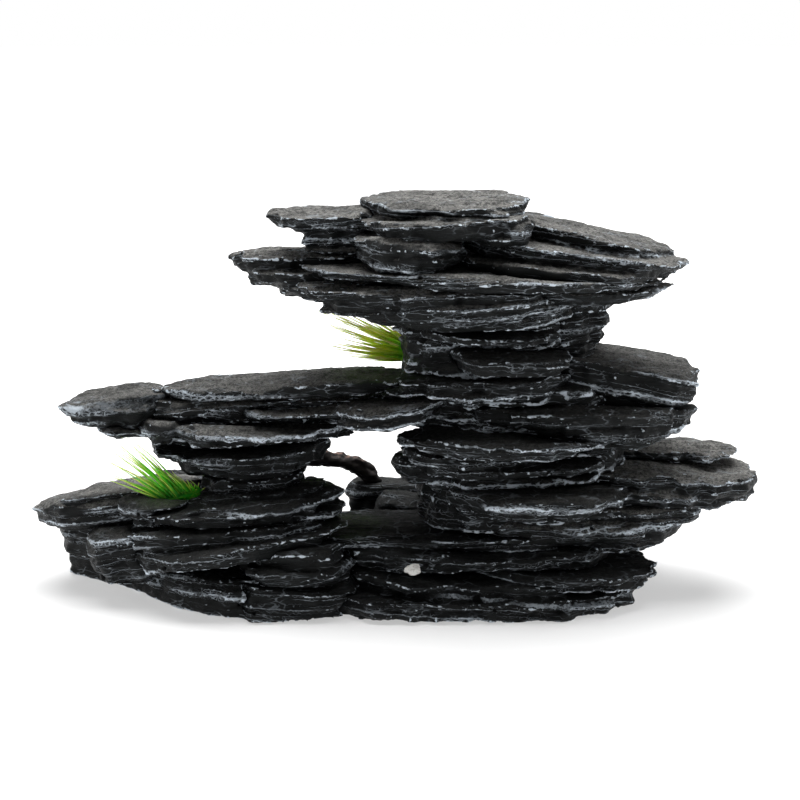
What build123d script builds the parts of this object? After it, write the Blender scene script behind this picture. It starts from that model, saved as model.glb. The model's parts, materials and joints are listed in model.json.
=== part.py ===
from build123d import *
import math
import os
import random

# Slate-stack cave ornament for an aquarium, in cast polyresin.
# Flat ledge stones are bedded one on another: a low base with a swim-through window, a left pillar
# carrying a long bridge slab, a right-hand column with a wing, and a broad canopy on a short neck.
# Two plastic grass tufts push into sockets, and a driftwood root arches over the rear boulders.
# Millimetres, +Z up, +X to the right and -Y towards the front. The stones are placed about the window, and the
# whole stack is moved at the end, so that the origin is under its middle, on the floor.

OUTLINE_POINTS = 12      # corners of one slate's plan outline
ROUGHNESS = 0.14         # how far a corner may fall inside the smooth outline, as a share of its radius
SHOULDER = 0.70          # height of a slate's widest line, as a share of its thickness
BEVEL = 1.1              # inset of a slate's top face
UNDERCUT = 3.6           # inset of a slate's underside
TIP_LEFT_X, TIP_RIGHT_X = -135.5, 133.5   # ends of the whole stack
FRONT_Y = -53.0          # foremost ledge

PEG_R, PEG_LENGTH = 1.7, 4.0              # peg moulded under a grass tuft
SOCKET_R, SOCKET_DEPTH = 1.75, 4.4        # its hole in the rock
CROWN_WIDTH, CROWN_HEIGHT = 5.0, 1.8       # bar that the blades grow from
CROWN_GAP, SEAT_GAP = 0.6, 0.1            # round the crown and under it
POCKET_HEIGHT = 12.0     # depth of rock cleared over a crown's seat
FAN_POINTS = 12          # corners of the blades' outline
# name, seat centre, crown length and direction, pull-out direction, then the middle of the blades' tips,
# the direction they spread in and their half-sizes
TUFTS = (
    ("lower_grass", (-77.2, -23.4, 38.5), 13.0, (0.97, 0.10, 0.20), (-0.148, -0.385, 0.911),
     (-96.0, -27.5, 50.0), (0.77, 0.0, 0.64), (11.5, 3.0)),
    ("upper_grass", (3.4, 2.0, 86.6), 9.0, (0.34, 0.0, 0.94), (-0.94, 0.0, 0.34),
     (-25.0, 5.0, 92.0), (0.15, 0.0, 0.99), (7.5, 3.5)),
)
ROOT_PATH = ((-46, 26, 40), (-34, 32, 39.2), (-21, 37, 36.4), (-12.5, 40, 31.4), (-10, 42, 24))
ROOT_R = (2.9, 3.4)      # radius at the pillar and at the foot
ROOT_SIDES, ROOT_RINGS = 9, 12

parts = {}


def plan_outline(x, y, ends, rng):
    """Corner points round an oval. An end's power makes it boxy below 1 and pointed above 1."""
    centre_x, half_x = (x[0] + x[1]) / 2, (x[1] - x[0]) / 2
    centre_y, half_y = (y[0] + y[1]) / 2, (y[1] - y[0]) / 2
    points = []
    for i in range(OUTLINE_POINTS):
        angle = 2 * math.pi * i / OUTLINE_POINTS
        c, s = math.cos(angle), math.sin(angle)
        power = ends[1] if c > 0 else ends[0]
        reach = 1 if i % (OUTLINE_POINTS // 2) == 0 else rng.uniform(1 - ROUGHNESS, 1)
        points.append((centre_x + half_x * reach * math.copysign(abs(c) ** power, c),
                       centre_y + half_y * reach * math.copysign(abs(s) ** power, s)))
    return points


def faceted_solid(rings):
    """Closed solid through rings of points, with flat ends and two triangles between neighbouring points."""
    count = len(rings[0])
    faces = [Face(Wire.make_polygon([Vector(*p) for p in ring], close=True))
             for ring in (list(reversed(rings[0])), rings[-1])]
    for low, high in zip(rings, rings[1:]):
        for i in range(count):
            j = (i + 1) % count
            a, b, c, d = (Vector(*p) for p in (low[i], low[j], high[j], high[i]))
            faces.append(Face(Wire.make_polygon([a, b, c], close=True)))
            faces.append(Face(Wire.make_polygon([a, c, d], close=True)))
    return Solid(Shell(faces))


def slate(x, y, top, under, ends=(1.0, 1.0), roll=0.0, undercut=UNDERCUT, bevel=BEVEL):
    """One flake of slate: x and y give its plan, top and under its heights at the left and right end.

    roll is the rise of both faces towards the back, per millimetre.
    """
    def build(rng):
        plan = plan_outline(x, y, ends, rng)
        middle_x, middle_y = (x[0] + x[1]) / 2, (y[0] + y[1]) / 2

        def ring(inset, share, wobble=0.0):
            points = []
            for px, py in plan:
                dx, dy = px - middle_x, py - middle_y
                radius = math.hypot(dx, dy)
                keep = max(0.45, (radius - inset) / radius)
                qx, qy = middle_x + dx * keep, middle_y + dy * keep
                along = (qx - x[0]) / (x[1] - x[0])
                high = top[0] + (top[1] - top[0]) * along
                low = under[0] + (under[1] - under[0]) * along
                level = share + rng.uniform(-wobble, wobble)
                points.append((qx, qy, low + (high - low) * level + roll * (qy - middle_y)))
            return points

        return faceted_solid([ring(undercut, 0), ring(0, SHOULDER, 0.12), ring(bevel, 1)])
    return build


def biggest(shape):
    """The largest solid of a cut shape, without the crumbs."""
    return max(shape.solids(), key=lambda solid: solid.volume)


def apart(a, b):
    """Whether two bounding boxes are clear of each other."""
    return (a.max.X < b.min.X or b.max.X < a.min.X or a.max.Y < b.min.Y or b.max.Y < a.min.Y
            or a.max.Z < b.min.Z or b.max.Z < a.min.Z)


def cut_from(name, body):
    """Keep what the parts made so far leave of a solid, as a new part."""
    box = body.bounding_box()
    for other in parts.values():
        if not apart(box, other.bounding_box()):
            body = body - other
    parts[name] = biggest(body)


def stone(name, *slates):
    """One cast stone: its slates fused, then cut away where it beds on the stones made before it."""
    rng = random.Random(name)
    body = None
    for build in slates:
        flake = build(rng)
        body = flake if body is None else body + flake
    cut_from(name, body)


# ---- canopy, from the top plate down ----
def build_canopy():
    stone("canopy_top_plate",
          slate((-15, 45.5), (-38, 25), (144, 143.5), (139, 138.5), (0.8, 0.65), undercut=2.5))
    stone("canopy_upper_plate",
          slate((-17.5, 44), (-47, 14), (137.8, 137.2), (133.2, 132), (0.7, 0.9)),
          slate((24, 47), (-44, 0), (138.4, 138.6), (130.5, 130.5), (0.9, 0.9)),
          slate((-13, 42), (-40, 18), (139.6, 139), (136.5, 136)))
    stone("canopy_left_arm",
          slate((-47.5, -8), (-27, 9), (139, 139.8), (133.4, 134.2), (1.1, 0.8), undercut=5),
          slate((-38, -6), (-21, 8), (135.5, 135.5), (128.5, 129), (0.9, 0.8)),
          slate((-35, -5), (-19, 8), (130, 130), (124, 125), (0.9, 0.8), undercut=0.5))
    stone("canopy_middle_ledge",
          slate((-16.5, 22), (-48, 0), (131.8, 130.5), (127, 126), (0.9, 1.0)),
          slate((-15, 24), (-46, 6), (127, 126.5), (122.5, 122), (0.9, 0.9)))
    stone("canopy_right_plate",
          slate((40, 97), (-26, 22), (137.4, 125.4), (131, 121), (0.9, 1.0)),
          slate((22, 101), (-40, 20), (132.5, 122.6), (124.5, 117.5), (0.9, 0.9)),
          slate((18, 96), (-45, 15), (125.5, 118.6), (119.2, 114.8), (0.9, 1.0)))
    stone("canopy_left_wing",
          slate((-61, -10), (-22, 8), (123.8, 125.6), (118.8, 119.8), (1.0, 0.8)),
          slate((-55.5, -4), (-28, 8), (119.6, 120.6), (113.6, 114.4), (0.9, 0.8)),
          slate((-45, 0), (-33, 6), (115, 116), (110, 109.4), (0.9, 0.8)))
    stone("canopy_main_slab",
          slate((-38, 94), (-52, 20), (123, 118.2), (117.6, 112.8), (0.9, 0.9)))
    stone("canopy_right_underslab",
          slate((28, 95.5), (-39, 14), (117.5, 114.5), (108, 109.6), (0.9, 0.7), undercut=6))
    stone("canopy_pitted_ledge",
          slate((-37, 58), (-49, 0), (116, 115), (110, 110), (0.85, 0.9)),
          slate((-29, 62), (-47, 4), (111, 111.5), (104.5, 105), (1.0, 0.9)),
          slate((-13, 60), (-41, 6), (105.5, 106), (99.5, 100.5), (1.0, 0.9)))


# ---- bridge slab and the left pillar that carries it ----
def build_bridge():
    stone("bridge_top_flake",
          slate((-91, 14), (-29, 12), (76.2, 81.5), (71.8, 77), (1.1, 0.7), roll=-0.02))
    stone("bridge_middle_lamina",
          slate((-92, 6), (-33, 8), (73.2, 76.8), (69.2, 72.6), (1.0, 0.9)),
          slate((-74, 8), (-34, 8), (69.4, 72.4), (65.6, 68.4), (1.0, 0.9)))
    stone("bridge_nose",
          slate((-117.5, -84), (-20, 4), (72.2, 75), (68.4, 70.8), (0.9, 0.8)),
          slate((-122.5, -82), (-23, 6), (70.8, 72), (61.6, 61.4), (0.85, 0.8), undercut=7, bevel=3))
    stone("bridge_right_lamina",
          slate((-26, 17), (-43, 2), (71.8, 75.8), (64.2, 70), (1.0, 0.9)))
    stone("bridge_lower_lamina",
          slate((-81, -15), (-37, 4), (65.4, 65.2), (58.4, 59.4), (0.75, 1.0), undercut=2),
          slate((-91, -78), (-27, 0), (66.5, 66.5), (57.6, 57.8), (0.8, 0.8), undercut=1.5))
    stone("bridge_under_flake",
          slate((-109, -84), (-21, 2), (62.6, 62.4), (57.4, 57), (1.0, 0.8)))
    stone("bridge_core_slab",
          slate((-108, 14), (-25, 14), (70, 76), (60.8, 62.6), (0.9, 0.8)))
    stone("pillar_cap",
          slate((-90.5, -21), (-22, 12), (62.5, 62.5), (54, 56), (0.7, 0.9), undercut=5))
    stone("pillar_block",
          slate((-85, -25), (-31, 14), (53.2, 57), (47, 50.4), (1.0, 0.95)),
          slate((-80, -32), (-30, 12), (48, 51), (43, 44.5), (1.0, 0.9)),
          slate((-90, -66), (-22, 4), (54.6, 54.6), (50, 50.5), (0.8, 0.8)))
    stone("pillar_foot",
          slate((-74, -33), (-28, 12), (44.5, 46), (37.5, 39), (0.9, 0.9), undercut=1))


# ---- right-hand column, from the neck down ----
def build_column():
    stone("neck_lace_ledge",
          slate((8, 57), (-40, 0), (99.4, 98), (94.6, 93.4), (0.9, 0.9)))
    stone("neck_right_block",
          slate((40, 74.5), (-17, 28), (106.5, 106.5), (97, 97), (0.8, 0.6), undercut=1.5),
          slate((42, 73), (-15, 26), (97.6, 97), (86, 84), (0.8, 0.7), undercut=3))
    stone("column_lens_ledge",
          slate((16, 61.5), (-48, -5), (92.4, 91), (86.2, 84.8), (0.8, 0.7)),
          slate((18, 60), (-46, -4), (86, 84.6), (79.4, 80.4), (0.9, 0.9)))
    stone("column_joint_ledge",
          slate((-3, 62), (-43, -4), (82.4, 83.2), (78.6, 79.6), (0.9, 0.9)),
          slate((-8, 58), (-41, -2), (79, 80), (73.8, 75.4), (1.0, 0.9)))
    stone("column_right_block",
          slate((50, 108), (-30, 22), (88.8, 82), (79.5, 75), (0.9, 0.5), undercut=1),
          slate((48, 107), (-28, 22), (80, 76), (72.2, 70.6), (0.9, 0.65)))
    stone("column_pointed_ledge",
          slate((20, 106), (-43, 14), (72.4, 70.2), (67, 62.8), (0.9, 0.9)),
          slate((28, 103), (-39, 14), (67.2, 65.4), (61.6, 57.4), (1.0, 0.85), undercut=6))
    stone("column_curved_ledge",
          slate((-1, 74), (-51, -4), (63.4, 62.4), (57.6, 57), (1.0, 0.9)))
    stone("column_holed_ledge",
          slate((1, 54), (-44, -2), (57.6, 56.4), (53.2, 52.6), (0.9, 1.0)),
          slate((4, 72), (-47, -4), (53.8, 53.2), (48.6, 48.2), (0.9, 0.9)))
    stone("column_left_knob",
          slate((-2.5, 22), (-27, 2), (50.4, 51.4), (44.6, 44), (0.9, 0.8), undercut=4))
    stone("column_bulge_ledge",
          slate((17, 79), (-54, -8), (43, 43.6), (36, 37), (1.1, 1.0)))
    stone("wing_top_flake",
          slate((56, 123), (-8, 28), (52, 49.2), (48, 45), (0.9, 0.6)))
    stone("wing_slab",
          slate((30, TIP_RIGHT_X), (-29, 26), (51, 42.6), (44.6, 34.4), (0.9, 0.62)),
          slate((24, 129), (-31, 24), (46, 38), (37.6, 32), (0.9, 0.85)))
    stone("wing_underslab",
          slate((19, 113), (-33, 21), (38.4, 33), (29, 27.6), (0.9, 0.9)),
          slate((14, 102.5), (-35, 18), (30.4, 28), (20.4, 19.6), (0.9, 0.9)))
    stone("neck_core",
          slate((0.5, 62), (-28, 26), (101.5, 101.5), (90, 90), (0.6, 0.8), undercut=0.5),
          slate((1, 60), (-30, 26), (91, 91), (78.5, 78.5), (0.6, 0.8), undercut=0.5))
    stone("column_core",
          slate((8, 84), (-34, 24), (79.5, 79.5), (66, 66), (0.8, 0.8), undercut=2),
          slate((-3, 80), (-33, 22), (68.5, 68.5), (62, 61), (0.9, 0.8), undercut=2),
          slate((8, 84), (-34, 24), (66, 66), (54, 54), (0.8, 0.8), undercut=2),
          slate((6, 82), (-36, 24), (56, 56), (26, 26), (0.8, 0.8), undercut=2))


# ---- base: window sill, front ledges, left stones ----
def build_base():
    stone("sill_slab",
          slate((-37, 68), (-39, 7), (27.4, 26.2), (21, 20), (0.8, 0.9)))
    stone("base_right_ledge",
          slate((-23, 75.5), (-45, 4), (22.4, 20.6), (15.6, 14.6), (1.0, 0.7)))
    stone("base_right_nose",
          slate((22, 92), (-46, 6), (16, 14.6), (8.4, 6.8), (1.0, 0.75), undercut=4))
    stone("front_toe_ledge",
          slate((-24, 74), (-50, -6), (15.2, 10.4), (8, 5), (1.1, 0.8)),
          slate((-38, 84.5), (FRONT_Y, -4), (8.6, 7), (0, 0), (0.9, 0.75), undercut=1.5))
    stone("left_upper_ledge",
          slate((-92, -22), (-43, 2), (35, 42.2), (29, 36.2), (0.8, 0.8)),
          slate((-80, -27), (-33, -2), (38.4, 43.4), (33.5, 39), (0.9, 0.8)),
          slate((-76, -20), (-38, 0), (31.5, 36.6), (26.5, 31), (1.0, 0.8)))
    stone("grass_shelf",
          slate((-98.5, -74), (-35, -2), (37.6, 38.4), (29, 30), (0.8, 0.9), undercut=1.5))
    stone("left_lower_ledge",
          slate((-97.5, -24), (-45, -6), (27.2, 34.6), (20.6, 30), (0.65, 0.9)),
          slate((-96, -19), (-49.5, -6), (20.8, 31.8), (14.4, 25), (0.8, 0.8)))
    stone("front_left_ledge",
          slate((-54, -18), (-50, -12), (25.4, 24), (18.6, 17.8), (0.9, 0.7)),
          slate((-58, -16), (-51.5, -12), (19, 18), (11.6, 11.4), (1.0, 0.7)))
    stone("front_left_toe",
          slate((-66, -14), (-52.5, -10), (12.2, 11.8), (0, 0), (1.1, 0.8), undercut=1.5))
    stone("left_corner_boulder",
          slate((-113.5, -82), (-35, 2), (26.6, 28), (17, 17), (0.7, 0.8), bevel=4, undercut=1),
          slate((-112, -84), (-34, 2), (18, 18), (7, 7), (0.8, 0.8), undercut=5))
    stone("left_overhang_slab",
          slate((TIP_LEFT_X, -70), (-24, 22), (31, 40.5), (22.4, 23.6), (0.75, 0.8), -0.14, undercut=2.5, bevel=3),
          slate((-120, -68), (-14, 28), (33.5, 37), (24, 24), (0.8, 0.8), -0.05, bevel=3))
    stone("left_heel_stone",
          slate((-127, -78), (-15, 34), (24, 24), (11.5, 11.5), (0.8, 0.8), undercut=2))
    stone("left_inner_stone",
          slate((-76, -31), (-34, 18), (38.5, 37.5), (24, 22), (0.8, 0.9), undercut=1))


# ---- back of the stack and the two stones seen through the window ----
def build_rear():
    stone("rear_round_stone",
          slate((-10, 15), (22, 38), (27.2, 23.4), (11, 11), (0.8, 0.8), bevel=3, undercut=1))
    stone("rear_flat_stone",
          slate((-20.5, 22), (34, 52), (28, 27.4), (11, 11), (0.6, 0.8), undercut=0.5))
    stone("left_rear_stone",
          slate((-96, -42), (4, 40), (35, 34), (24, 24), (0.8, 0.8)),
          slate((-100, -36), (2, 46), (26, 26), (11, 11), (0.8, 0.8)))
    stone("rear_column_low",
          slate((10, 104), (6, 42), (44, 40), (26, 26), (0.8, 0.8)),
          slate((6, 96), (4, 46), (28, 28), (10, 10), (0.8, 0.8)))
    stone("rear_column_middle",
          slate((12, 96), (6, 38), (62, 60), (42, 42), (0.8, 0.8)),
          slate((16, 90), (6, 40), (76, 74), (60, 60), (0.8, 0.8)))
    stone("rear_column_high",
          slate((6, 74), (6, 36), (96, 98), (74, 74), (0.8, 0.8)))
    stone("rear_canopy_stone",
          slate((-22, 82), (-8, 38), (112, 112), (96, 98), (0.9, 0.9), undercut=8),
          slate((-34, 84), (-6, 36), (126, 122), (111, 111), (0.9, 0.9)),
          slate((-20, 62), (-6, 32), (137, 134), (124, 123), (0.9, 0.9)))


def build_plinth():
    """Flat-bottomed plinth with its own footprint, filling between the stones that stand on the floor."""
    footprint = [(-124, 8), (-118, 3), (-109, -2), (-100, -9), (-91, -20), (-82, -31), (-71, -40), (-60, -46),
                 (-46, -49), (-30, -50), (0, -50), (35, -48), (53, -46), (66, -42), (76, -35), (84, -14), (87, 6),
                 (85, 26),
                 (72, 42), (48, 51), (14, 54), (-24, 52), (-62, 49), (-98, 40), (-118, 26)]
    middle_x, middle_y = -15.0, 2.0
    rings = []
    for height, inset in ((0.0, 0.0), (10.0, 0.0), (13.5, 4.0)):
        ring = []
        for px, py in footprint:
            dx, dy = px - middle_x, py - middle_y
            keep = 1 - inset / math.hypot(dx, dy)
            ring.append((middle_x + dx * keep, middle_y + dy * keep, height))
        rings.append(ring)
    cut_from("base_plinth", faceted_solid(rings))


# ---- driftwood root: a knobbly arch from the left pillar down to the rear stones ----
def build_root():
    arch = Spline(*(Vector(*p) for p in ROOT_PATH))
    rng = random.Random("root")
    rings = []
    for i in range(ROOT_RINGS):
        share = i / (ROOT_RINGS - 1)
        frame = Plane(origin=arch @ share, z_dir=arch % share, x_dir=(0, 1, 0))
        radius = ROOT_R[0] + (ROOT_R[1] - ROOT_R[0]) * share
        ring = []
        for j in range(ROOT_SIDES):
            angle = 2 * math.pi * j / ROOT_SIDES
            reach = radius * rng.uniform(0.86, 1.12)
            ring.append(frame.from_local_coords(Vector(reach * math.cos(angle), reach * math.sin(angle), 0)))
        rings.append([tuple(p) for p in ring])
    cut_from("driftwood_root", faceted_solid(rings))


# ---- plastic grass: a crown on a peg, and the space that its blades fill ----
def ellipse_ring(centre, along, across, half_length, half_width):
    """Points of an ellipse whose long half-axis lies along one direction and short one along another."""
    ring = []
    for i in range(FAN_POINTS):
        angle = 2 * math.pi * i / FAN_POINTS
        point = centre + along * (half_length * math.cos(angle)) + across * (half_width * math.sin(angle))
        ring.append(tuple(point))
    return ring


def grass_tuft(name, root, crown_length, along, axis, tip, tip_along, tip_half):
    """Push-fit grass tuft. Its crown is long in one direction, and its peg runs back along the axis."""
    root, tip, tip_along = Vector(*root), Vector(*tip), Vector(*tip_along).normalized()
    seat = Plane(origin=root, x_dir=along, z_dir=axis)
    out = seat.z_dir

    def bar(length, width, start, height):
        return seat * Pos(0, 0, start) * extrude(SlotOverall(length, width), height)

    def pin(radius, length):
        return seat * Pos(0, 0, -length) * Cylinder(radius, length, align=(Align.CENTER, Align.CENTER, Align.MIN))

    hollow = bar(crown_length + 2 * CROWN_GAP, CROWN_WIDTH + 2 * CROWN_GAP, 0, POCKET_HEIGHT)
    hollow = hollow + pin(SOCKET_R, SOCKET_DEPTH)
    for rock, body in list(parts.items()):
        if not apart(body.bounding_box(), hollow.bounding_box()):
            parts[rock] = biggest(body - hollow)
    crown = bar(crown_length, CROWN_WIDTH, SEAT_GAP, CROWN_HEIGHT - SEAT_GAP)
    peg = pin(PEG_R, PEG_LENGTH) + seat * Cylinder(PEG_R, 2 * SEAT_GAP)
    parts[name + "_crown"] = biggest(crown + peg)
    low = ellipse_ring(root + out * CROWN_HEIGHT, seat.x_dir, seat.y_dir, crown_length * 0.46, CROWN_WIDTH * 0.42)
    high = ellipse_ring(tip, tip_along, seat.y_dir, *tip_half)
    parts[name + "_blades"] = faceted_solid([low, high])


def centre_origin():
    """Move every part so that the origin is under the middle of the stack, on the floor."""
    boxes = [body.bounding_box() for body in parts.values()]
    middle_x = (min(b.min.X for b in boxes) + max(b.max.X for b in boxes)) / 2
    middle_y = (min(b.min.Y for b in boxes) + max(b.max.Y for b in boxes)) / 2
    floor_z = min(b.min.Z for b in boxes)
    print("moved by", -middle_x, -middle_y, -floor_z)
    for part, body in parts.items():
        parts[part] = body.moved(Location((-middle_x, -middle_y, -floor_z)))


build_canopy()
build_bridge()
build_column()
build_base()
build_rear()
build_plinth()
build_root()
for tuft in TUFTS:
    grass_tuft(*tuft)
centre_origin()

os.makedirs("parts", exist_ok=True)
for old in os.listdir("parts"):
    os.remove(os.path.join("parts", old))
for name, shape in parts.items():
    export_step(shape, os.path.join("parts", name + ".step"))
print(len(parts), "nodes")
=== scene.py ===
"""Looks of the slate-stack cave ornament: slate stones, plastic grass, a driftwood root and a studio."""

import json
import math
import random

import bmesh
import bpy
import numpy as np
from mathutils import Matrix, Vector


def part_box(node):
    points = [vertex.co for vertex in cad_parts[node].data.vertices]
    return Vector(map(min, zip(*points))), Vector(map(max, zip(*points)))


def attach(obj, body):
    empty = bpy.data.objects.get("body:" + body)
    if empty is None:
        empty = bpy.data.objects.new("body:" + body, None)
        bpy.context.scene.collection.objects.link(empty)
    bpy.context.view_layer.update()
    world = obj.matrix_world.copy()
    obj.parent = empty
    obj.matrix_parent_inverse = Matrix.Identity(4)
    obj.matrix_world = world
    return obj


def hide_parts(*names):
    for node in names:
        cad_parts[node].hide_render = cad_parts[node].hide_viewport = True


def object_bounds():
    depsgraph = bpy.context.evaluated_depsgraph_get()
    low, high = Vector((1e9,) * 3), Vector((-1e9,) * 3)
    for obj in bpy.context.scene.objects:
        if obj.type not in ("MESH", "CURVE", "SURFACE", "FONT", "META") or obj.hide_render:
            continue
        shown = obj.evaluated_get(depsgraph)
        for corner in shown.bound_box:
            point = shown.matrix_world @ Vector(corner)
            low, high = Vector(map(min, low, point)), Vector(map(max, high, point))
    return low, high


MM = 0.001
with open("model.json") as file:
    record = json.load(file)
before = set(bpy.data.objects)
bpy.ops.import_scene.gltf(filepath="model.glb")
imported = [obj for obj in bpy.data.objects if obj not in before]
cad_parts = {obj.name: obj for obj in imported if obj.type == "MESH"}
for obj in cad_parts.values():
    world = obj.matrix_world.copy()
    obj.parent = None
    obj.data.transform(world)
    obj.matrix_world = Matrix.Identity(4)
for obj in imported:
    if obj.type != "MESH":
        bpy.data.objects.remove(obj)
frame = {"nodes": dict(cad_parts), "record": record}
cad_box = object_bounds()
record = frame["record"]
NODES = frame["nodes"]

VOXEL = 0.6        # mm, grain of a remeshed stone
HIDDEN_VOXEL = VOXEL * 1.35               # mm, the same for stones that the front hardly shows
ROOT_VOXEL = 0.5                          # mm, the same for the driftwood root
KEPT_FACES = 0.5                          # share of a stone's faces left at the end
THICK_LAYER, THICK_DEPTH = 6.8, 2.5       # mm, mean height and ledge depth of a bold slate layer
THIN_LAYER, THIN_DEPTH = 2.3, 1.05        # mm, the same for the thin layers between
LIP_PLACE = 0.40                          # height of a layer's lip, as a share of the layer
AIR_LIGHT = 0.18                          # strength of the white air as a light
FLOOR_GLOW = 0.46                         # strength of the table's own light round the object
CAMERA_TILT, CAMERA_DISTANCE = math.radians(12), 0.690
LOWER_BLADES, UPPER_BLADES = 78, 74       # blades in each tuft
BLADE_STEPS = 12                          # rings of corners along a blade, before its tip

# paint and plastic colours, linear red, green and blue
CHARCOAL, LIGHTER_CHARCOAL = (0.0045, 0.0050, 0.0052, 1), (0.0125, 0.0140, 0.0142, 1)
SCRATCH = (0.070, 0.078, 0.090, 1)
# PALE_DUST_AND_TOP_LIGHT: pale dusting on upward faces, partly painted light from above
PALE_DUST_AND_TOP_LIGHT, DARK_SPECK = (0.31, 0.305, 0.288, 1), (0.012, 0.012, 0.012, 1)
DRY_BRUSH = (0.69, 0.77, 0.85, 1)
# near-black painted shade for hollows, creases and casting pits
HOLLOW_PAINTED_SHADE = (0.003, 0.003, 0.0035, 1)
MOSS_GREEN = (0.060, 0.120, 0.020, 1)
BROWN, LIGHTER_BROWN, PINKISH = (0.004, 0.0033, 0.003, 1), (0.016, 0.011, 0.0095, 1), (0.20, 0.12, 0.095, 1)
BARE_WHITE, STAINED_WHITE = (0.80, 0.79, 0.76, 1), (0.48, 0.46, 0.42, 1)
# from the foot of a blade to its tip
GREEN_BLADE = ((0.003, 0.18, 0.004, 1), (0.050, 0.64, 0.010, 1), (0.75, 1.0, 0.13, 1))
LIME_BLADE = ((0.16, 0.60, 0.008, 1), (0.75, 0.97, 0.02, 1), (0.98, 1.0, 0.30, 1))


# ---------------------------------------------------------------- noise on arrays of points
def hashed(cells, seed):
    """Repeatable random number from 0 to 1 for each row of three whole numbers."""
    mask = np.int64(0xFFFFFFFF)
    mixed = cells[:, 0] * 73856093 ^ cells[:, 1] * 19349663 ^ cells[:, 2] * 83492791
    mixed = (mixed ^ np.int64(seed * 2654435)) & mask
    mixed = ((mixed ^ (mixed >> 15)) * 2246822519) & mask
    mixed = ((mixed ^ (mixed >> 13)) * 3266489917) & mask
    return ((mixed ^ (mixed >> 16)) & 0xFFFFF) / float(0xFFFFF)


def noise(points, size, seed=0):
    """Smooth noise from -1 to 1 whose lumps measure size, one number or one for each axis."""
    scaled = points / np.asarray(size, float)
    base = np.floor(scaled).astype(np.int64)
    blend = scaled - base
    blend = blend * blend * (3 - 2 * blend)
    total = np.zeros(len(points))
    for corner in range(8):
        step = np.array([corner & 1, corner >> 1 & 1, corner >> 2 & 1])
        weight = np.prod(np.where(step == 1, blend, 1 - blend), axis=1)
        total += weight * hashed(base + step, seed)
    return total * 2 - 1


def smooth_step(low, high, values):
    """0 below low, 1 above high and a smooth rise between them."""
    share = np.clip((values - low) / (high - low), 0, 1)
    return share * share * (3 - 2 * share)


# ---------------------------------------------------------------- objects
def new_object(name, data):
    """An object in the scene for a mesh, a light or a camera."""
    obj = bpy.data.objects.new(name, data)
    bpy.context.scene.collection.objects.link(obj)
    return obj


def mesh_from(bm, name):
    """A mesh from a bmesh, which is freed."""
    mesh = bpy.data.meshes.new(name)
    bm.to_mesh(mesh)
    bm.free()
    return mesh


def shade_smooth(mesh):
    for face in mesh.polygons:
        face.use_smooth = True


def point_at(obj, place, aim):
    """Put a light or a camera at a place and turn it towards an aim."""
    obj.location = place
    obj.rotation_mode = "QUATERNION"
    obj.rotation_quaternion = (Vector(aim) - Vector(place)).to_track_quat("-Z", "Y")


# ---------------------------------------------------------------- meshes as arrays, in millimetres
def remeshed(name, source, voxel):
    """A fine, even copy of a CAD node's mesh as a new object."""
    obj = new_object(name, source.data.copy())
    remesh(obj, voxel)
    obj.data.materials.clear()
    return obj


def remesh(obj, voxel):
    """Give an object an even mesh with faces about voxel millimetres wide."""
    modifier = obj.modifiers.new("remesh", "REMESH")
    modifier.mode = "VOXEL"
    modifier.voxel_size = voxel * MM
    apply_modifiers(obj)


def apply_modifiers(obj):
    """Bake an object's modifiers into its mesh."""
    before = obj.data
    evaluated = obj.evaluated_get(bpy.context.evaluated_depsgraph_get())
    obj.data = bpy.data.meshes.new_from_object(evaluated)
    obj.data.name = obj.name
    obj.modifiers.clear()
    bpy.data.meshes.remove(before)


def island_labels(edges, length):
    """For each vertex, the lowest vertex number in its connected piece of mesh."""
    label = np.arange(length)
    while True:
        lowest = np.minimum(label[edges[:, 0]], label[edges[:, 1]])
        joined = label.copy()
        np.minimum.at(joined, edges[:, 0], lowest)
        np.minimum.at(joined, edges[:, 1], lowest)
        joined = joined[joined]
        if np.array_equal(joined, label):
            return label
        label = joined


def keep_largest(mesh):
    """Delete the crumbs that thin flakes leave when a stone is remeshed."""
    labels = island_labels(edges_of(mesh), len(mesh.vertices))
    names, sizes = np.unique(labels, return_counts=True)
    if len(names) == 1:
        return
    crumbs = np.nonzero(labels != names[sizes.argmax()])[0]
    bm = bmesh.new()
    bm.from_mesh(mesh)
    bm.verts.ensure_lookup_table()
    bmesh.ops.delete(bm, geom=[bm.verts[i] for i in crumbs], context="VERTS")
    bm.to_mesh(mesh)
    bm.free()


def points_of(mesh):
    """The vertices of a mesh, in millimetres."""
    flat = np.empty(len(mesh.vertices) * 3)
    mesh.vertices.foreach_get("co", flat)
    return flat.reshape(-1, 3) / MM


def normals_of(mesh):
    """The vertex normals of a mesh."""
    flat = np.empty(len(mesh.vertices) * 3)
    mesh.vertex_normals.foreach_get("vector", flat)
    return flat.reshape(-1, 3)


def put_points(mesh, points):
    mesh.vertices.foreach_set("co", (points * MM).ravel())
    mesh.update()


def edges_of(mesh):
    flat = np.empty(len(mesh.edges) * 2, np.int64)
    mesh.edges.foreach_get("vertices", flat)
    return flat.reshape(-1, 2)


def gathered(values, edges, length):
    """Sum of the neighbours' values at each vertex."""
    return (np.bincount(edges[:, 0], values[edges[:, 1]], length)
            + np.bincount(edges[:, 1], values[edges[:, 0]], length))


def spread(values, edges, rounds):
    """Average each vertex's values with its neighbours', rounds times over."""
    length = len(values)
    count = np.maximum(np.bincount(edges.ravel(), minlength=length), 1)
    columns = values.reshape(length, -1).T.copy()
    for _ in range(rounds):
        columns = [0.5 * column + 0.5 * gathered(column, edges, length) / count for column in columns]
    return np.array(columns).T.reshape(values.shape)


def bulge(points, normals, edges, radius):
    """How far each vertex stands proud of its surroundings, smoothed over a radius, in millimetres."""
    rounds = max(2, round((radius / VOXEL) ** 2))
    return ((points - spread(points, edges, rounds)) * normals).sum(1)


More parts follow.
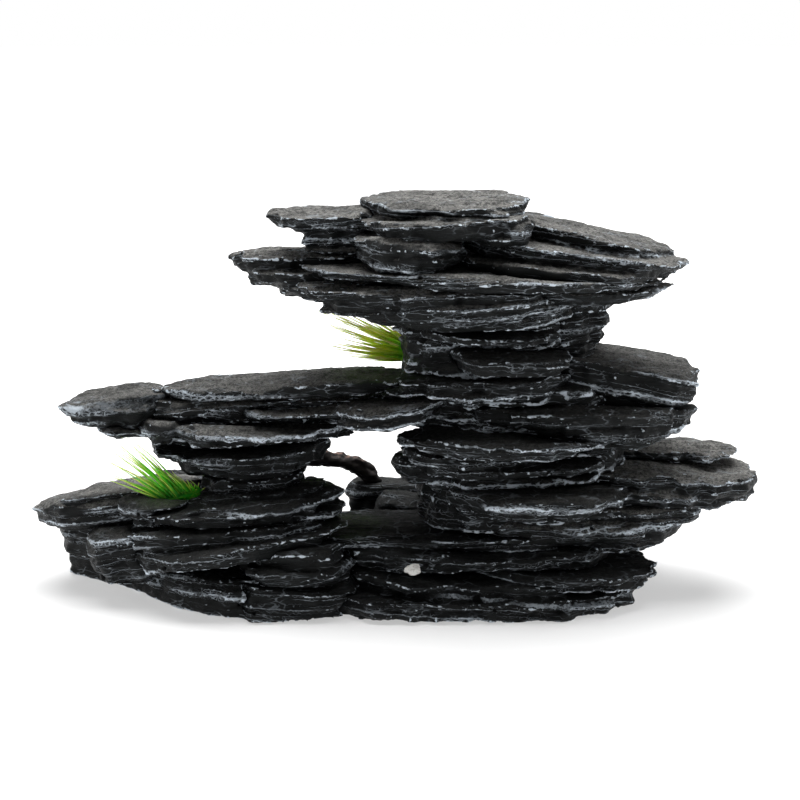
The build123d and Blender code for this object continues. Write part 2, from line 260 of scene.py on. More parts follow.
def store(mesh, name, values):
    """Keep a number for each vertex, for the materials to read."""
    attribute = mesh.attributes.new(name, "FLOAT", "POINT")
    attribute.data.foreach_set("value", values.astype(np.float32))


# ---------------------------------------------------------------- slate stones
def bedding_of(source):
    """Upward normal of a CAD stone's broad faces."""
    total = Vector((0, 0, 0))
    for face in source.data.polygons:
        if face.normal.z > 0.9:
            total += face.normal * face.area
    return np.array(total.normalized() if total.length > 0 else (0, 0, 1))


class Layers:
    """One set of slate layers through a stone."""

    def __init__(self, bedding, slant, thickness, depth, seed):
        self.direction = bedding + slant
        self.thickness = thickness
        self.depth = depth
        self.seed = seed

    def at(self, points):
        """Layer number and place within the layer, from 0 at its foot to 1 at its top."""
        seed = self.seed
        height = points @ self.direction
        height = height + 1.6 * noise(points, (38, 30, 36), seed) + 0.5 * noise(points, (12, 9, 14), seed + 1)
        level = height / self.thickness
        level = level + 0.28 * np.sin(level * 1.9 + seed % 7) + 0.12 * np.sin(level * 4.3 + seed % 5)
        layer = np.floor(level)
        return layer, level - layer

    def boldness(self, plan):
        return smooth_step(-0.45, 0.55, noise(plan, (24, 18, 1), self.seed + 5))

    def reach(self, points):
        """How far the layers stand out from the stone's side, in millimetres."""
        layer, place = self.at(points)
        plan = flattened(points, layer)
        seed = self.seed
        ragged = 0.42 * noise(plan, (22, 16, 1), seed + 2) + 0.30 * angular(plan, (9, 9, 1), seed + 3)
        ragged = ragged + 0.20 * noise(plan, (3.2, 3.2, 1), seed + 4)
        notch = np.maximum(0, noise(plan, (7, 7, 1), seed + 6) - 0.42) * 2.2
        ledge = (0.25 + self.boldness(plan)) * (ledge_shape(place) - 0.42)
        return self.depth * (ragged + ledge - notch)

    def lip(self, points):
        """Height above the nearest lip in millimetres, and how bold that lip is."""
        layer, place = self.at(points)
        above = (place - LIP_PLACE) * self.thickness
        return np.clip(above, -2.0, 2.0), self.boldness(flattened(points, layer))


def flattened(points, layer):
    """Points whose height is their layer's number, so that noise is the same through a whole layer."""
    plan = points.copy()
    plan[:, 2] = layer * 37.0
    return plan


def ledge_shape(place):
    """Reach of a layer: it slopes out from its top to a lip, drops and is undercut at its foot."""
    slope = 1 - smooth_step(LIP_PLACE - 0.04, 1.05, place)
    return slope * smooth_step(0.0, 0.14, place)


def angular(points, size, seed):
    """Noise with sharp ridges, as broken edges have, from about -2 to 1."""
    return 1 - 3.2 * np.abs(noise(points, size, seed))


def sideways_of(normals, bedding):
    """At each point: unit direction out of the stone's side, share of side, and how far it faces up."""
    upright = normals @ bedding
    outward = normals - upright[:, None] * bedding
    reach = np.linalg.norm(outward, axis=1)
    return outward / np.maximum(reach, 1e-6)[:, None], smooth_step(0.2, 0.7, reach), upright


def carve(points, normals, bedding, sets, seed, strength):
    """Split a stone's sides into slate layers, and its broad faces into flakes."""
    outward, side, upright = sideways_of(normals, bedding)
    sideways = sum(layers.reach(points) for layers in sets)
    sideways -= np.maximum(0, noise(points, (4.4, 4.4, 2.6), seed + 6) - 0.36) * 2.0
    moved = points + outward * (side * (sideways * strength + 0.35))[:, None]

    top = smooth_step(0.45, 0.85, np.abs(upright)) * np.sign(upright)
    steps = noise(points, (30, 10, 60), seed + 7) * 2.6
    flat = np.floor(steps)
    terrace = (flat + smooth_step(0.84, 1.0, steps - flat)) * 0.7
    swell = noise(points, (22, 6, 40), seed + 8) * 0.5 + 0.35 * angular(points, (26, 4.5, 40), seed + 9)
    moved += bedding * (top * (terrace + swell) * strength)[:, None]
    return moved


def crumble(points, normals, bedding, seed, torn):
    """Fine relief: torn lips, long strata wrinkles and cast grain."""
    upright = np.abs(normals @ bedding)
    lines = noise(points, (11, 11, 0.9), seed + 20) * 0.17 + angular(points, (14, 14, 1.7), seed + 21) * 0.10
    furrow = noise(points, (8, 1.7, 30), seed + 22) * 0.22 + angular(points, (16, 2.9, 30), seed + 25) * 0.15
    tear = noise(points, (1.9, 1.9, 1.4), seed + 23) * (0.05 + 0.40 * torn)
    grain = noise(points, 1.05, seed + 24) * np.where(upright > 0.6, 0.17, 0.05 + 0.12 * torn)
    return points + normals * (np.where(upright > 0.6, furrow, lines) + tear + grain)[:, None]


def bubble_pits(points, normals, rng, count):
    """Round casting-bubble holes on the sides of a stone. Returns the dents and the rims round them."""
    dent = np.zeros(len(points))
    rim = np.zeros(len(points))
    sides = np.nonzero(np.abs(normals[:, 2]) < 0.75)[0]
    if len(sides) == 0:
        return dent, rim
    for _ in range(count):
        centre = points[sides[rng.randrange(len(sides))]]
        radius = rng.uniform(0.6, 1.2)
        away = np.linalg.norm(points - centre, axis=1)
        dent = np.maximum(dent, (1 - smooth_step(radius * 0.5, radius * 1.15, away)) * radius * 1.2)
        rim = np.maximum(rim, np.exp(-((away - radius * 1.3) / 0.35) ** 2))
    return dent, rim


def make_stone(node):
    """A weathered stone in place of its plain CAD solid."""
    source = NODES[node]
    rng = random.Random(node)
    seed = rng.randrange(1, 5000)
    strength = ROUNDED.get(node, 1.0)
    hidden = node.startswith("rear") or node.endswith(("_core", "_plinth"))
    grain = HIDDEN_VOXEL if hidden else VOXEL
    bedding = bedding_of(source)
    slant = np.array((rng.uniform(-0.09, 0.09), rng.uniform(-0.05, 0.05), 0))
    sets = (Layers(bedding, slant, THICK_LAYER * rng.uniform(0.8, 1.2), THICK_DEPTH, seed),
            Layers(bedding, slant, THIN_LAYER * rng.uniform(0.85, 1.2), THIN_DEPTH, seed + 40))

    obj = remeshed(node + "_stone", source, grain)
    put_points(obj.data, spread(points_of(obj.data), edges_of(obj.data), 2))
    put_points(obj.data, carve(points_of(obj.data), normals_of(obj.data), bedding, sets, seed, strength))
    remesh(obj, grain)
    keep_largest(obj.data)
    detail(obj.data, node, bedding, sets, rng, seed, strength)
    thin_out(obj, KEPT_FACES)
    shade_smooth(obj.data)
    obj.data.materials.append(ROCK)
    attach(obj, "rock")
    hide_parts(node)


def detail(mesh, node, bedding, sets, rng, seed, strength):
    """Give a carved stone its fine relief, and the measures that its paint and its painted shade follow."""
    edges = edges_of(mesh)
    points = points_of(mesh)
    normals = normals_of(mesh)
    side = sideways_of(normals, bedding)[1]
    (thick_lip, thick_bold), (thin_lip, thin_bold) = (layers.lip(points) for layers in sets)
    ribbon = np.exp(-((thick_lip + 0.4) / 0.9) ** 2) * thick_bold * side ** 2
    rim = smooth_step(0.08, 0.75, bulge(points, normals, edges, 1.6)) * 0.8
    broad = bulge(points, normals, edges, 2.8)
    points = crumble(points, normals, bedding, seed, strength * np.maximum(ribbon, rim))
    dent, pit_rim = bubble_pits(points, normals, rng, int(1 + np.ptp(points[:, 0]) / 25))
    points = points - normals * dent[:, None]
    points[:, 2] = np.maximum(points[:, 2], 0.0)
    put_points(mesh, points)

    fine = bulge(points, normals_of(mesh), edges, 1.2)
    round_pits = np.clip(pit_rim + dent, 0, 1)
    brushed = BRUSHED.get(node, 1.0)
    store(mesh, "crest", smooth_step(0.03, 0.26, fine) * (1 - 0.8 * round_pits) * brushed)
    store(mesh, "edge", np.clip(np.maximum(rim, ribbon), 0, 1) * brushed)
    # hollow: how deep a point lies in a recess or pit; the material darkens it there as painted shade
    store(mesh, "hollow", np.clip(smooth_step(0.10, 0.7, -broad) + dent, 0, 1))
    store(mesh, "lip", thick_lip)
    store(mesh, "lip_bold", thick_bold * side ** 2 * brushed)
    store(mesh, "thin_lip", thin_lip)
    store(mesh, "thin_bold", thin_bold * side)
    # paler upward faces: partly real dusting, partly painted light from above, weaker on stones under
    # overhangs
    store(mesh, "dust_and_top_light", np.full(len(points), dust_and_top_light_on(node)))
    store(mesh, "moss", moss_on(points, normals))


def thin_out(obj, share):
    """Leave about a share of the faces, most of them where the surface bends."""
    modifier = obj.modifiers.new("thin_out", "DECIMATE")
    modifier.ratio = share
    apply_modifiers(obj)


# share of the usual weathering, 1 for a stone that isn't listed
ROUNDED = {"base_plinth": 0.35, "sill_slab": 0.6, "bridge_nose": 0.7, "column_right_block": 0.75,
           "left_overhang_slab": 0.5, "left_corner_boulder": 0.6, "left_heel_stone": 0.6,
           "canopy_main_slab": 0.75, "canopy_right_underslab": 0.6, "canopy_right_plate": 0.75,
           "rear_round_stone": 0.4, "rear_flat_stone": 0.5}

# share of the usual dry brushing on edges, 1 for a stone that isn't listed
BRUSHED = {"bridge_nose": 0.55, "rear_round_stone": 0.45, "rear_flat_stone": 0.5}

# how thickly pale dusting lies on the upward faces of a stone, or of a group of stones, together with painted
# light from above: stones shaded by overhangs get less
DUST_AND_TOP_LIGHT = {"canopy": 0.95, "bridge": 0.65, "wing": 0.88, "neck": 0.18, "pillar": 0.12, "grass": 0.25,
        "sill": 0.02, "base": 0.04, "front": 0.05,
        "column": 0.20, "column_right_block": 0.6,
        "left": 0.10, "left_overhang_slab": 0.9, "left_corner_boulder": 0.25,
        "rear": 0.35, "rear_round_stone": 0.08, "rear_flat_stone": 0.12}


def box_of(node):
    """The lowest and the highest corner of a node's box, in millimetres."""
    return [np.array(corner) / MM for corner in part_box(node)]


def dust_and_top_light_on(node):
    """A stone's own dustiness and painted top light, or that of its group, which its name starts with."""
    return DUST_AND_TOP_LIGHT.get(node, DUST_AND_TOP_LIGHT[node.split("_")[0]])


def moss_spots():
    """Places where green flock lies on the rock: centre, radius (both in millimetres) and strength."""
    sill, knob, flake, ledge, shelf = (box_of(node) for node in (
        "sill_slab", "column_left_knob", "bridge_top_flake", "left_upper_ledge", "grass_shelf"))
    return [
        (np.array((sill[0][0] + 18, sill[0][1] + 18, sill[1][2])), 20, 0.6),
        (np.array((knob[0][0] + 7, knob[0][1] + 12, knob[1][2])), 9, 0.6),
        (np.array((flake[1][0] - 20, (flake[0][1] + flake[1][1]) / 2, flake[1][2])), 26, 0.9),
        (np.array((ledge[1][0] - 8, ledge[1][1] - 12, ledge[1][2])), 13, 1.5),
        (np.array((shelf[1][0] - 9, shelf[0][1] + 8, shelf[1][2])), 12, 0.5),
    ]


MOSS_SPOTS = moss_spots()


def moss_on(points, normals):
    """How mossy each point is: near a spot and facing up."""
    amount = np.zeros(len(points))
    for centre, radius, strength in MOSS_SPOTS:
        near = 1 - smooth_step(radius * 0.4, radius, np.linalg.norm((points - centre) * (1, 1, 2), axis=1))
        amount = np.maximum(amount, near * strength)
    return amount * smooth_step(0.0, 0.6, normals[:, 2])


# ---------------------------------------------------------------- node helpers for materials
class Graph:
    """A short way to write a material's nodes."""

    def __init__(self, name):
        self.material = bpy.data.materials.new(name)
        self.material.use_nodes = True
        self.tree = self.material.node_tree
        self.tree.nodes.clear()

    def node(self, kind, **settings):
        made = self.tree.nodes.new(kind)
        for key, value in settings.items():
            if key.startswith("in_"):
                socket = made.inputs[key[3:].replace("_", " ")]
                self.feed(socket, value)
            else:
                setattr(made, key, value)
        return made

    def feed(self, socket, value):
        if isinstance(value, bpy.types.NodeSocket):
            self.tree.links.new(value, socket)
        else:
            socket.default_value = value

    def math(self, operation, first, second=0.0, third=0.0):
        made = self.node("ShaderNodeMath", operation=operation)
        for socket, value in zip(made.inputs, (first, second, third)):
            self.feed(socket, value)
        return made.outputs[0]

    def times(self, first, second):
        return self.math("MULTIPLY", first, second)

    def ramp(self, value, low, high, start=0.0, end=1.0):
        """A smooth change from start to end while the value goes from low to high."""
        made = self.node("ShaderNodeMapRange", interpolation_type="SMOOTHSTEP")
        for socket, number in zip(made.inputs, (value, low, high, start, end)):
            self.feed(socket, number)
        return made.outputs[0]

    def mix(self, share, first, second):
        made = self.node("ShaderNodeMix", data_type="RGBA")
        self.feed(made.inputs[0], share)
        self.feed(made.inputs[6], first)
        self.feed(made.inputs[7], second)
        return made.outputs[2]

    def attribute(self, name):
        return self.node("ShaderNodeAttribute", attribute_name=name).outputs["Fac"]

    def vector_math(self, operation, *values):
        made = self.node("ShaderNodeVectorMath", operation=operation)
        for socket, value in zip(made.inputs, values):
            self.feed(socket, value)
        return made.outputs["Vector"]

    def place(self, stretch=(1, 1, 1)):
        """Object coordinates in millimetres, squeezed along each axis by stretch."""
        coords = self.node("ShaderNodeTexCoord").outputs["Object"]
        return self.vector_math("MULTIPLY", coords, tuple(1 / MM / s for s in stretch))

    def noise(self, place, scale, detail=3.0, roughness=0.55):
        return self.node("ShaderNodeTexNoise", in_Vector=place, in_Scale=scale, in_Detail=detail,
                         in_Roughness=roughness).outputs["Fac"]

    def warped(self, place, scale, amount):
        """A place pushed about by noise, so that patterns on it look torn."""
        wobble = self.node("ShaderNodeTexNoise", in_Vector=place, in_Scale=scale, in_Detail=2.0)
        centred = self.vector_math("SUBTRACT", wobble.outputs["Color"], (0.5, 0.5, 0.5))
        return self.vector_math("MULTIPLY_ADD", centred, (amount,) * 3, place)

    def cracks(self, place, scale):
        """Distance to the nearest border of a cell pattern."""
        return self.node("ShaderNodeTexVoronoi", feature="DISTANCE_TO_EDGE", in_Vector=place,
                         in_Scale=scale).outputs["Distance"]

    def finish(self, colour, roughness, bump=None, bump_mm=0.3, specular=0.5, **sockets):
        """A Principled shader; its named sockets are written with _ for a space."""
        shader = self.node("ShaderNodeBsdfPrincipled")
        self.feed(shader.inputs["Base Color"], colour)
        self.feed(shader.inputs["Roughness"], roughness)
        shader.inputs["Specular IOR Level"].default_value = specular
        for key, value in sockets.items():
            self.feed(shader.inputs[key.replace("_", " ")], value)
        if bump is not None:
            made = self.node("ShaderNodeBump", in_Height=bump, in_Distance=bump_mm * MM, in_Strength=1.0)
            self.feed(shader.inputs["Normal"], made.outputs[0])
        self.node("ShaderNodeOutputMaterial", in_Surface=shader.outputs[0])
        return self.material


def facing_up(graph):
    """Upward part of the surface normal, from -1 to 1."""
    normal = graph.node("ShaderNodeNewGeometry").outputs["Normal"]
    split = graph.node("ShaderNodeSeparateXYZ", in_Vector=normal)
    return split.outputs["Z"]


# ---------------------------------------------------------------- materials
def lip_line(g, height, boldness, width, wobble):
    """A thin torn line along the lips of a set of layers, width and wobble in millimetres."""
    tear = g.math("SUBTRACT", g.noise(g.place((1.5, 1.5, 1)), 0.9, 4.0, 0.7), 0.5)
    away = g.math("ABSOLUTE", g.math("MULTIPLY_ADD", tear, wobble, height))
    room = g.ramp(g.noise(g.place((2, 2, 1)), 0.35, 2.0), 0.35, 0.65, 0.2 * width, 1.3 * width)
    line = g.ramp(g.math("SUBTRACT", away, room), 0.10, -0.10)
    return g.times(line, g.ramp(boldness, 0.25, 0.7))


def base_coat(g, place):
    """Charcoal with faint lengthwise scratches."""
    colour = g.mix(g.noise(place, 0.07, 4.0), CHARCOAL, LIGHTER_CHARCOAL)
    scratch = g.ramp(g.noise(g.place((8, 8, 0.8)), 0.8, 4.0, 0.7), 0.55, 0.74)
    return g.mix(g.times(scratch, 0.25), colour, SCRATCH)


def dusted_and_top_lit(g, place, up, colour):
    """Pale dusting that is partly painted light from above, and small dark specks over a colour, on the
    upward faces.
    """
    dust_and_top_light = g.ramp(g.noise(place, 0.9, 6.0, 0.85), 0.40, 0.60, 0.12, 1.0)
    dust_and_top_light = g.times(dust_and_top_light, g.ramp(g.noise(place, 0.13, 3.0), 0.35, 0.62, 0.55, 1.0))
    dust_and_top_light = g.times(dust_and_top_light, g.attribute("dust_and_top_light"))
    # painted light: upward faces made paler, as where the top light falls, along with the dusting
    colour = g.mix(g.times(up, dust_and_top_light), colour, PALE_DUST_AND_TOP_LIGHT)
    cells = g.node("ShaderNodeTexVoronoi", in_Vector=place, in_Scale=0.75).outputs["Distance"]
    specks = g.times(g.ramp(cells, 0.22, 0.12), up)
    return g.mix(g.times(specks, 0.8), colour, DARK_SPECK)


def brushing(g, place, hollow):
    """Where dry brushing lies: torn lines along the lips, with lace, a wash and veins round them."""
    tear = g.math("SUBTRACT", g.noise(g.place((1.6, 1.6, 0.9)), 1.1, 5.0, 0.75), 0.5)
    rim_line = g.ramp(g.math("MULTIPLY_ADD", tear, 1.5, g.attribute("crest")), 0.62, 0.80)
    bold_line = lip_line(g, g.attribute("lip"), g.attribute("lip_bold"), 0.22, 1.5)
    thin_line = lip_line(g, g.attribute("thin_lip"), g.attribute("thin_bold"), 0.07, 0.9)
    patches = g.ramp(g.noise(g.place((2, 2, 1)), 0.16, 3.0), 0.46, 0.62)
    near = g.ramp(g.math("MULTIPLY_ADD", tear, 0.9, g.attribute("edge")), 0.16, 0.50)
    near = g.times(near, g.math("MULTIPLY_ADD", patches, 0.65, 0.35))
    loops = g.cracks(g.warped(g.place((1.5, 1.5, 0.9)), 0.9, 1.3), 0.62)
    lace = g.times(g.ramp(loops, 0.17, 0.04), near)
    wash = g.times(near, g.ramp(g.noise(place, 1.4, 4.0, 0.8), 0.46, 0.62))
    veins = g.ramp(g.cracks(g.warped(g.place((3.4, 3.4, 0.9)), 0.5, 2.4), 0.35), 0.05, 0.01)
    strokes = ((bold_line, 0.95), (lace, 0.95), (wash, 0.36), (thin_line, 0.55),
               (g.times(veins, patches), 0.20))
    brush = g.times(rim_line, 0.95)
    for stroke, strength in strokes:
        brush = g.math("MAXIMUM", brush, g.times(stroke, strength))
    fade = g.ramp(g.noise(g.place((2.5, 2.5, 1)), 0.12, 2.0), 0.28, 0.52, 0.30, 1.0)
    return g.times(g.times(brush, fade), g.ramp(hollow, 0.7, 0.15))


def rock_relief(g, place, up, brush):
    """Height for the bump: long strata, pores that are deepest on top, and the brushed paint."""
    strata = g.noise(g.place((10, 10, 0.8)), 0.7, 4.0, 0.65)
    pores = g.times(g.noise(place, 1.3, 6.0, 0.75), g.ramp(up, 0.0, 1.0, 0.25, 1.0))
    height = g.math("ADD", g.times(strata, 0.6), pores)
    return g.math("ADD", height, g.times(brush, 0.2))


def rock_material():
    """Charcoal resin with a warm grey dusting on top that is partly painted light from above, pale blue-grey
    dry brushing on edges, painted shade in the hollows, and moss in spots.
    """
    g = Graph("painted_slate_resin")
    place = g.place()
    hollow = g.attribute("hollow")
    up = g.ramp(facing_up(g), 0.40, 0.95)
    brush = brushing(g, place, hollow)
    colour = dusted_and_top_lit(g, place, up, base_coat(g, place))
    colour = g.mix(brush, colour, DRY_BRUSH)
    # painted shade: hollows and pits darkened towards black, where shade falls
    colour = g.mix(g.times(hollow, 0.7), colour, HOLLOW_PAINTED_SHADE)
    green = g.times(g.attribute("moss"), g.ramp(g.noise(place, 0.8, 4.0, 0.7), 0.35, 0.6))
    colour = g.mix(g.times(green, 0.6), colour, MOSS_GREEN)
    rough = g.ramp(g.noise(place, 0.35, 3.0), 0.3, 0.7, 0.40, 0.62)
    return g.finish(colour, rough, bump=rock_relief(g, place, up, brush), bump_mm=1.1, specular=0.13)


def wood_material():
    """Dark brown root with a pinkish highlight along its top."""
    g = Graph("painted_root_resin")
    grain = g.noise(g.place((4, 4, 1.2)), 0.7, 4.0)
    top = g.times(g.ramp(facing_up(g), 0.65, 1.0), g.ramp(g.noise(g.place(), 0.6, 3.0), 0.42, 0.62))
    colour = g.mix(g.times(top, 0.8), g.mix(grain, BROWN, LIGHTER_BROWN), PINKISH)
    return g.finish(colour, 0.6, bump=grain, bump_mm=0.5, specular=0.2)


def bare_material():
    """Chalky white resin where the paint is missing."""
    g = Graph("bare_white_resin")
    stain = g.noise(g.place(), 0.9, 4.0)
    colour = g.mix(g.ramp(stain, 0.45, 0.75), BARE_WHITE, STAINED_WHITE)
    return g.finish(colour, 0.7, bump=stain, bump_mm=0.3, specular=0.3)


def plastic_material(name, foot, middle, end):
    """Soft moulded plastic, shaded along each blade from root to tip."""
    g = Graph(name)
    along = g.attribute("along")
    streak = g.noise(g.place(), 0.9, 2.0)
    colour = g.mix(g.ramp(along, 0.05, 0.50), foot, middle)
    colour = g.mix(g.ramp(g.math("MULTIPLY_ADD", g.attribute("tint"), 0.6, along), 0.42, 1.1), colour, end)
    colour = g.mix(g.times(g.ramp(streak, 0.4, 0.7), 0.12), colour, end)
    return g.finish(colour, 0.42, bump=streak, bump_mm=0.08, specular=0.25,
                    Subsurface_Weight=0.5, Subsurface_Scale=0.003, Subsurface_Radius=(0.35, 1.0, 0.15))


def floor_material():
    """White table top, made to glow as if translucent and lit from beneath: painted light, half as strongly
    round the object as further out.
    """
    g = Graph("studio_table")
    fibre = g.noise(g.place(), 0.05, 2.0)
    colour = g.mix(fibre, (0.50, 0.50, 0.50, 1), (0.53, 0.53, 0.53, 1))
    away = g.node("ShaderNodeVectorMath", operation="LENGTH")
    g.feed(away.inputs[0], g.node("ShaderNodeTexCoord").outputs["Object"])
    # painted light: the table glows by itself, dimmer near the object so that its shadow shows, full white
    # further out
    glow = g.ramp(away.outputs["Value"], 0.09, 0.50, FLOOR_GLOW, 1.0)
    return g.finish(colour, 0.9, specular=0.1, Emission_Color=(1, 1, 1, 1), Emission_Strength=glow)


ROCK = rock_material()
WOOD = wood_material()
BARE_RESIN = bare_material()
LOWER_GRASS = plastic_material("green_grass_plastic", *GREEN_BLADE)
UPPER_GRASS = plastic_material("lime_grass_plastic", *LIME_BLADE)


# ---------------------------------------------------------------- driftwood root and small bits
def make_root():
    """The root with knobs, lengthwise grooves and knots."""
    obj = remeshed("driftwood_root_bark", NODES["driftwood_root"], ROOT_VOXEL)
    mesh = obj.data
    points = spread(points_of(mesh), edges_of(mesh), 6)
    put_points(mesh, points)
    knobs = noise(points, 3.1, 71) * 0.75 + angular(points, (5.0, 2.0, 3.0), 72) * 0.35
    knobs += noise(points, 1.1, 73) * 0.2
    put_points(mesh, points + normals_of(mesh) * knobs[:, None])
    shade_smooth(mesh)
    mesh.materials.append(WOOD)
    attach(obj, "rock")
    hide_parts("driftwood_root")


def make_chip():
    """A crumb of bare white resin lodged between two front ledges."""
    bm = bmesh.new()
    bmesh.ops.create_icosphere(bm, subdivisions=5, radius=1)
    mesh = mesh_from(bm, "bare_resin_chip")
    low, high = box_of("front_toe_ledge")
    centre = np.array((low[0] + (high[0] - low[0]) * 0.345, low[1] + 4.6, high[2] + 3.2))
    ball = points_of(mesh) * MM
    size = np.array((2.7, 1.8, 1.5))
    lumps = 1 + 0.45 * noise(ball * 2, 1.3, 5) + 0.18 * noise(ball * 2, 0.5, 6)
    points = ball * lumps[:, None] * size
    points[:, 2] += points[:, 0] * 0.12
    put_points(mesh, points + centre)
    shade_smooth(mesh)
    obj = new_object(mesh.name, mesh)
    mesh.materials.append(BARE_RESIN)
    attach(obj, "rock")


# ---------------------------------------------------------------- grass
def along_path(stops, share):
    """The point at a share, from 0 to 1, of the way along a chain of points."""
    place = min(max(share, 0.0), 0.9999) * (len(stops) - 1)
    index = int(place)
    return stops[index].lerp(stops[index + 1], place - index)


def add_blade(bm, root, bend, tip, width, facing, layers):
    """One curved, tapering blade with a thin diamond section, closed at both ends."""
    rings = []
    for step in range(BLADE_STEPS):
        t = step / BLADE_STEPS
        centre = root * (1 - t) ** 2 + bend * 2 * t * (1 - t) + tip * t * t
        heading = ((bend - root) * (1 - t) + (tip - bend) * t).normalized()
        across = heading.cross(facing).normalized()
        thick = heading.cross(across).normalized()
        half = width * (0.72 + 0.28 * math.sin(math.pi * min(t * 1.6, 1.0))) * (1 - t) ** 0.6
        corners = (centre + across * half, centre + thick * half * 0.4,
                   centre - across * half, centre - thick * half * 0.4)
        rings.append([bm.verts.new(corner * MM) for corner in corners])
        for vert in rings[-1]:
            vert[layers["along"]] = t
    point = bm.verts.new(tip * MM)
    point[layers["along"]] = 1.0
    for lower, upper in zip(rings, rings[1:]):
        for i in range(4):
            bm.faces.new((lower[i], lower[(i + 1) % 4], upper[(i + 1) % 4], upper[i]))
    for i in range(4):
        bm.faces.new((rings[-1][i], rings[-1][(i + 1) % 4], point))
    bm.faces.new(rings[0][::-1])


def make_tuft(node, material, roots, tips, count, seed, sag):
    """A fan of soft blades from a row of roots to a row of tips, as one piece on the node's body."""
    rng = random.Random(seed)
    bm = bmesh.new()
    layers = {name: bm.verts.layers.float.new(name) for name in ("along", "tint")}
    for number in range(count):
        share = (number + rng.uniform(0.0, 1.0)) / count
        root = along_path(roots, share + rng.uniform(-0.08, 0.08)) + Vector(
            (rng.uniform(-0.5, 0.5), rng.uniform(-1.3, 1.3), rng.uniform(-0.4, 0.2)))
        tip = along_path(tips, share + rng.uniform(-0.10, 0.10)) + Vector((0, rng.uniform(-3.0, 3.0), 0))
        length = rng.uniform(0.75, 1.05) if number % 3 else rng.uniform(0.35, 0.7)
        tip = root.lerp(tip, length)
        reach = (tip - root).length
        bow = Vector((rng.uniform(-0.08, 0.08), 0, sag + rng.uniform(-0.04, 0.04))) * reach
        facing = Vector((rng.uniform(-0.35, 0.35), -0.8, rng.uniform(0.3, 0.9)))
        before = len(bm.verts)
        add_blade(bm, root, root.lerp(tip, 0.5) + bow, tip, rng.uniform(0.34, 0.54), facing, layers)
        bm.verts.ensure_lookup_table()
        tint = rng.uniform(0.0, 1.0) ** 2
        for vert in bm.verts[before:]:
            vert[layers["tint"]] = tint
    mesh = mesh_from(bm, node.replace("blades", "leaves"))
    shade_smooth(mesh)
    mesh.materials.append(material)
    obj = new_object(mesh.name, mesh)
    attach(obj, node.replace("_blades", ""))
    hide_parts(node)


def from_box(node, *shares):
    """A point in millimetres at the given shares of a node's box."""
    low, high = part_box(node)
    return Vector([(a + (b - a) * share) / MM for a, b, share in zip(low, high, shares)])


def make_grass():
    """Both tufts: each fans out from its crown, and its tips run along a chain of points round it."""
    middle = from_box("lower_grass_crown", 0.5, 0.5, 0.6)
    roots = [middle + Vector(step) for step in ((-6.0, -2.2, -1.8), (0, -0.6, 0.0), (5.8, 0.8, 1.4))]
    tips = [middle + Vector(step) for step in ((-29, -3, 6), (-27, -4, 14), (-24, -4, 21), (-18.5, -3, 22),
                                               (-11.5, -2, 12.5), (-3.0, -1, 9), (8.4, 0, 3.6))]
    make_tuft("lower_grass_blades", LOWER_GRASS, roots, tips, LOWER_BLADES, 11, 0.06)

    middle = from_box("upper_grass_crown", 0.35, 0.5, 0.5)
    roots = [middle + Vector(step) for step in ((1.2, 0, 4.0), (0, 0, 0), (-0.8, 0, -3.4))]
    tips = [middle + Vector(step) for step in ((-6, 2, 9), (-15, 3, 14), (-31, 3, 17), (-36, 2, 15),
                                               (-33, 3, 9), (-27, 2, 4.5), (-36, 3, 3), (-30, 1, -1.6),
                                               (-13, 0, -2.8))]
    make_tuft("upper_grass_blades", UPPER_GRASS, roots, tips, UPPER_BLADES, 23, -0.04)

    for name, material in (("lower_grass_crown", LOWER_GRASS), ("upper_grass_crown", UPPER_GRASS)):
        NODES[name].data.materials.clear()
        NODES[name].data.materials.append(material)


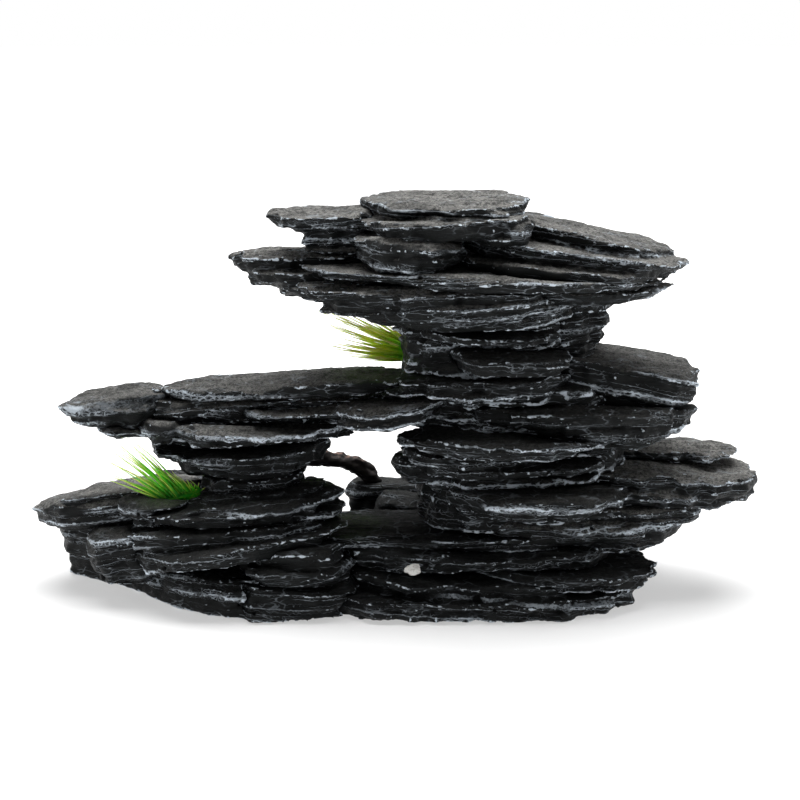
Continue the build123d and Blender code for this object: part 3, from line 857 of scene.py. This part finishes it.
# ---------------------------------------------------------------- studio
def make_studio():
    """A wide white table top, a big soft light above, weak ones at both sides, and white air all round."""
    bm = bmesh.new()
    bmesh.ops.create_circle(bm, cap_ends=True, segments=96, radius=8.0)
    mesh = mesh_from(bm, "table_top")
    mesh.materials.append(floor_material())
    table = new_object("table_top", mesh)

    soft_box("top_light", (0.0, 0.30, 1.10), (0.0, 0.0, 0.05), (1.25, 0.95), 31.0)
    soft_box("left_light", (-1.1, 0.10, 0.45), (0.0, 0.0, 0.06), (0.6, 0.8), 2.5)
    soft_box("right_light", (1.1, 0.10, 0.50), (0.0, 0.0, 0.06), (0.6, 0.8), 3.0)
    bpy.context.scene.world = studio_air()
    bpy.context.scene.view_settings.view_transform = "Standard"


def studio_air():
    """White where the camera looks past the table, and a faint even light on everything."""
    world = bpy.data.worlds.new("studio_air")
    world.use_nodes = True
    nodes, links = world.node_tree.nodes, world.node_tree.links
    background = nodes["Background"]
    background.inputs[0].default_value = (1, 1, 1, 1)
    strength = nodes.new("ShaderNodeMapRange")
    strength.inputs["To Min"].default_value = AIR_LIGHT
    strength.inputs["To Max"].default_value = 1.0
    links.new(nodes.new("ShaderNodeLightPath").outputs["Is Camera Ray"], strength.inputs["Value"])
    links.new(strength.outputs[0], background.inputs[1])
    return world


def soft_box(name, place, aim, size, power):
    """A rectangular light of a size in metres and a power in watts."""
    light = bpy.data.lights.new(name, "AREA")
    light.shape = "RECTANGLE"
    light.size, light.size_y = size
    light.energy = power
    point_at(new_object(name, light), place, aim)


def make_camera():
    """A short telephoto from the front, twelve degrees above the horizon."""
    low, high = cad_box
    aim = Vector(((low.x + high.x) / 2 + 0.001, (low.y + high.y) / 2 - 0.0015, high.z * 0.478))
    data = bpy.data.cameras.new("front_camera")
    data.lens, data.sensor_width = 85, 36
    camera = new_object("front_camera", data)
    back = Vector((0, -math.cos(CAMERA_TILT), math.sin(CAMERA_TILT)))
    point_at(camera, aim + back * CAMERA_DISTANCE, aim)
    bpy.context.scene.camera = camera


# ---------------------------------------------------------------- assembly
for node_name in record["behaviour"]["bodies"]["rock"]:
    if node_name != "driftwood_root":
        make_stone(node_name)

make_root()
make_chip()
make_grass()
make_studio()
make_camera()
